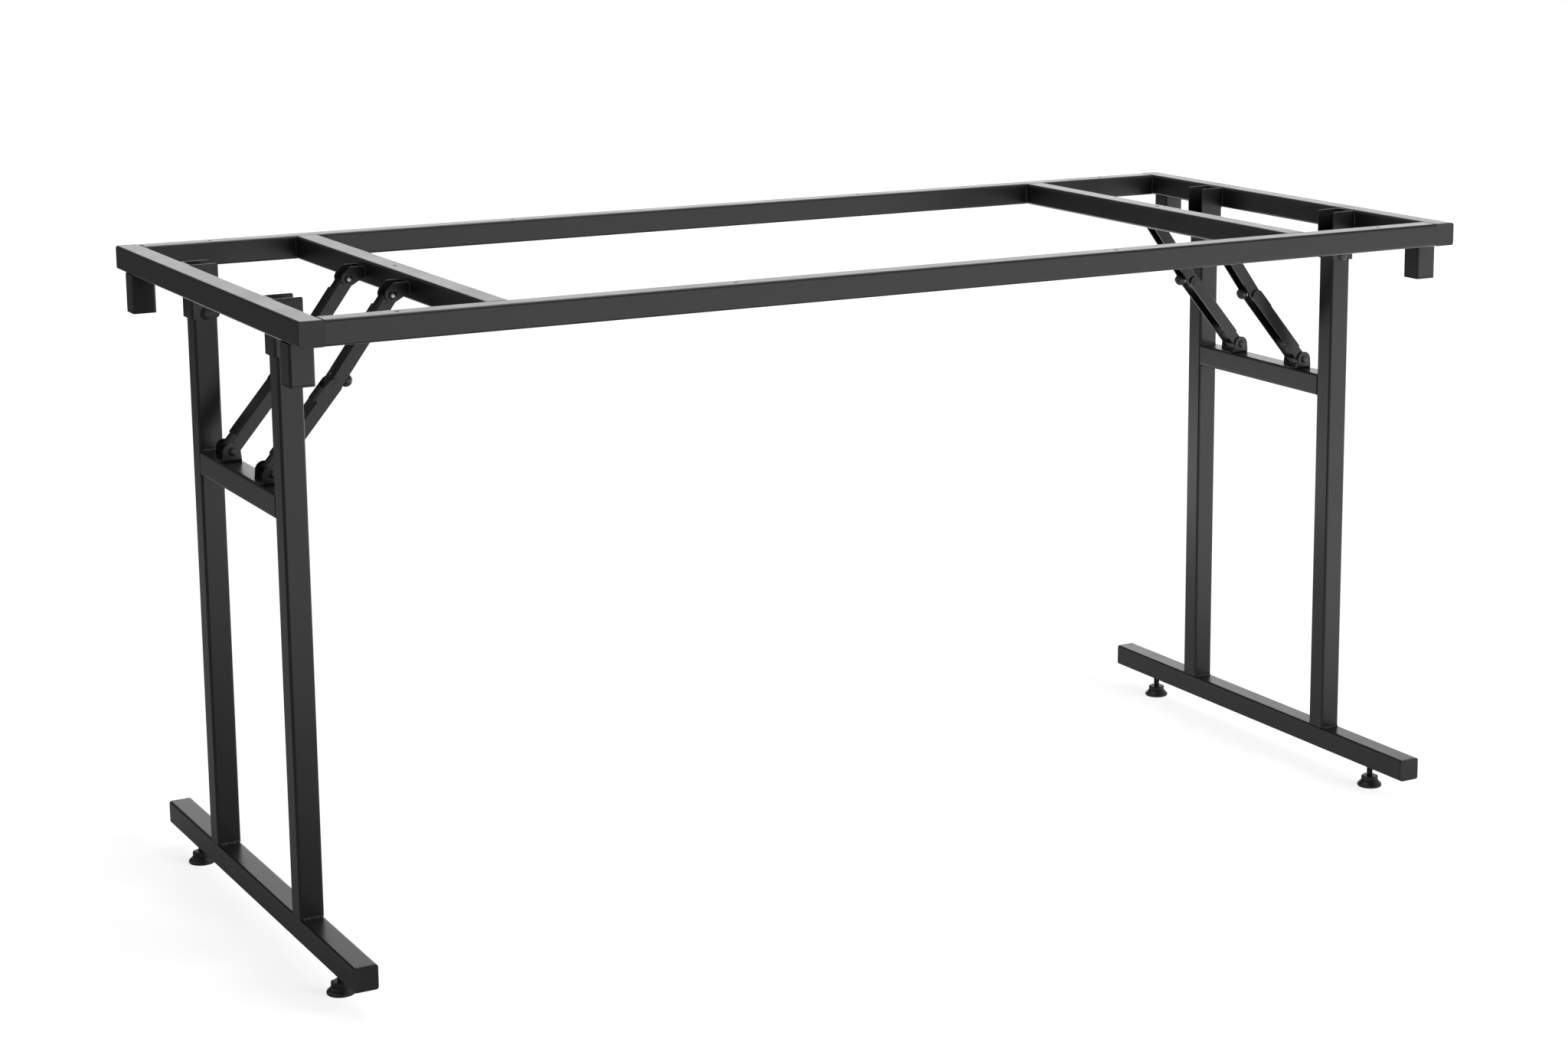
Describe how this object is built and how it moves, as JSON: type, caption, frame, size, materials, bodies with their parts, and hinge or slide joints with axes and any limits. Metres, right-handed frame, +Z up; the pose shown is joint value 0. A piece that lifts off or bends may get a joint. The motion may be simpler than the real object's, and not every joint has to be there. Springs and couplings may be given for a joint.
{
  "type": "folding table frame",
  "caption": "Black square-tube folding table frame: T-foot legs fold in under the rails, held by jointed channel stays with ball knobs, on levelling feet.",
  "frame": {"origin": "on the floor under the middle of the frame", "axes": "+X along the table's length, +Y from front to rear, +Z up"},
  "size_m": [1.5, 0.65, 0.75],
  "materials": {
    "black_steel": "satin black powder coat on steel",
    "black_plastic": "moulded black plastic",
    "dark_rivets": "painted steel rivet heads"
  },
  "bodies": {
    "top_frame": {"front_rail": "black_steel", "rear_rail": "black_steel", "left_end_rail": "black_steel", "right_end_rail": "black_steel", "left_cross_rail": "black_steel", "right_cross_rail": "black_steel", "rail_end_caps": "black_plastic", "left_front_stub": "black_steel", "left_rear_stub": "black_steel", "right_front_stub": "black_steel", "right_rear_stub": "black_steel", "stub_caps": "black_plastic", "left_front_leg_bracket": "black_steel", "left_rear_leg_bracket": "black_steel", "right_front_leg_bracket": "black_steel", "right_rear_leg_bracket": "black_steel", "leg_pivot_rivets": "dark_rivets", "left_front_stay_upper_bracket": "black_steel", "left_rear_stay_upper_bracket": "black_steel", "right_front_stay_upper_bracket": "black_steel", "right_rear_stay_upper_bracket": "black_steel", "stay_upper_rivets": "dark_rivets"},
    "left_leg": {"left_front_upright": "black_steel", "left_rear_upright": "black_steel", "left_leg_crossbar": "black_steel", "left_foot_bar": "black_steel", "left_foot_bar_caps": "black_plastic", "left_front_stay_lower_bracket": "black_steel", "left_rear_stay_lower_bracket": "black_steel", "left_stay_lower_rivets": "dark_rivets"},
    "right_leg": {"right_front_upright": "black_steel", "right_rear_upright": "black_steel", "right_leg_crossbar": "black_steel", "right_foot_bar": "black_steel", "right_foot_bar_caps": "black_plastic", "right_front_stay_lower_bracket": "black_steel", "right_rear_stay_lower_bracket": "black_steel", "right_stay_lower_rivets": "dark_rivets"},
    "left_front_stay_upper": {"left_front_upper_link": "black_steel", "left_front_knob": "black_plastic"},
    "left_front_stay_lower": {"left_front_lower_link": "black_steel", "left_front_mid_rivets": "dark_rivets"},
    "left_front_foot": {"left_front_levelling_foot": "black_plastic"},
    "left_rear_stay_upper": {"left_rear_upper_link": "black_steel", "left_rear_knob": "black_plastic"},
    "left_rear_stay_lower": {"left_rear_lower_link": "black_steel", "left_rear_mid_rivets": "dark_rivets"},
    "left_rear_foot": {"left_rear_levelling_foot": "black_plastic"},
    "right_front_stay_upper": {"right_front_upper_link": "black_steel", "right_front_knob": "black_plastic"},
    "right_front_stay_lower": {"right_front_lower_link": "black_steel", "right_front_mid_rivets": "dark_rivets"},
    "right_front_foot": {"right_front_levelling_foot": "black_plastic"},
    "right_rear_stay_upper": {"right_rear_upper_link": "black_steel", "right_rear_knob": "black_plastic"},
    "right_rear_stay_lower": {"right_rear_lower_link": "black_steel", "right_rear_mid_rivets": "dark_rivets"},
    "right_rear_foot": {"right_rear_levelling_foot": "black_plastic"}
  },
  "joints": [
    {"name": "left_leg_fold", "type": "hinge", "parent": "top_frame", "child": "left_leg", "pos_m": [-0.7045, 0, 0.692], "axis": [0, -1, 0], "range_deg": [0, 90]},
    {"name": "right_leg_fold", "type": "hinge", "parent": "top_frame", "child": "right_leg", "pos_m": [0.7045, 0, 0.692], "axis": [0, 1, 0], "range_deg": [0, 90]},
    {"name": "left_front_stay_upper_turn", "type": "hinge", "parent": "top_frame", "child": "left_front_stay_upper", "pos_m": [-0.559, -0.07, 0.7295], "axis": [0, -1, 0], "range_deg": [-41, 0]},
    {"name": "left_front_stay_lower_turn", "type": "hinge", "parent": "left_leg", "child": "left_front_stay_lower", "pos_m": [-0.7045, -0.07, 0.544], "axis": [0, -1, 0], "range_deg": [0, 35]},
    {"name": "left_front_foot_height", "type": "slide", "parent": "left_leg", "child": "left_front_foot", "axis": [0, 0, -1], "range_m": [-0.011, 0.01]},
    {"name": "left_rear_stay_upper_turn", "type": "hinge", "parent": "top_frame", "child": "left_rear_stay_upper", "pos_m": [-0.559, 0.07, 0.7295], "axis": [0, -1, 0], "range_deg": [-41, 0]},
    {"name": "left_rear_stay_lower_turn", "type": "hinge", "parent": "left_leg", "child": "left_rear_stay_lower", "pos_m": [-0.7045, 0.07, 0.544], "axis": [0, -1, 0], "range_deg": [0, 35]},
    {"name": "left_rear_foot_height", "type": "slide", "parent": "left_leg", "child": "left_rear_foot", "axis": [0, 0, -1], "range_m": [-0.011, 0.01]},
    {"name": "right_front_stay_upper_turn", "type": "hinge", "parent": "top_frame", "child": "right_front_stay_upper", "pos_m": [0.559, -0.07, 0.7295], "axis": [0, 1, 0], "range_deg": [-41, 0]},
    {"name": "right_front_stay_lower_turn", "type": "hinge", "parent": "right_leg", "child": "right_front_stay_lower", "pos_m": [0.7045, -0.07, 0.544], "axis": [0, 1, 0], "range_deg": [0, 35]},
    {"name": "right_front_foot_height", "type": "slide", "parent": "right_leg", "child": "right_front_foot", "axis": [0, 0, -1], "range_m": [-0.011, 0.01]},
    {"name": "right_rear_stay_upper_turn", "type": "hinge", "parent": "top_frame", "child": "right_rear_stay_upper", "pos_m": [0.559, 0.07, 0.7295], "axis": [0, 1, 0], "range_deg": [-41, 0]},
    {"name": "right_rear_stay_lower_turn", "type": "hinge", "parent": "right_leg", "child": "right_rear_stay_lower", "pos_m": [0.7045, 0.07, 0.544], "axis": [0, 1, 0], "range_deg": [0, 35]},
    {"name": "right_rear_foot_height", "type": "slide", "parent": "right_leg", "child": "right_rear_foot", "axis": [0, 0, -1], "range_m": [-0.011, 0.01]}
  ],
  "couplings": [
    {"joint": "left_front_stay_upper_turn", "follows": "left_leg_fold", "ratio": -0.45391},
    {"joint": "left_front_stay_lower_turn", "follows": "left_leg_fold", "ratio": 0.38555},
    {"joint": "left_rear_stay_upper_turn", "follows": "left_leg_fold", "ratio": -0.45391},
    {"joint": "left_rear_stay_lower_turn", "follows": "left_leg_fold", "ratio": 0.38555},
    {"joint": "right_front_stay_upper_turn", "follows": "right_leg_fold", "ratio": -0.45391},
    {"joint": "right_front_stay_lower_turn", "follows": "right_leg_fold", "ratio": 0.38555},
    {"joint": "right_rear_stay_upper_turn", "follows": "right_leg_fold", "ratio": -0.45391},
    {"joint": "right_rear_stay_lower_turn", "follows": "right_leg_fold", "ratio": 0.38555}
  ]
}
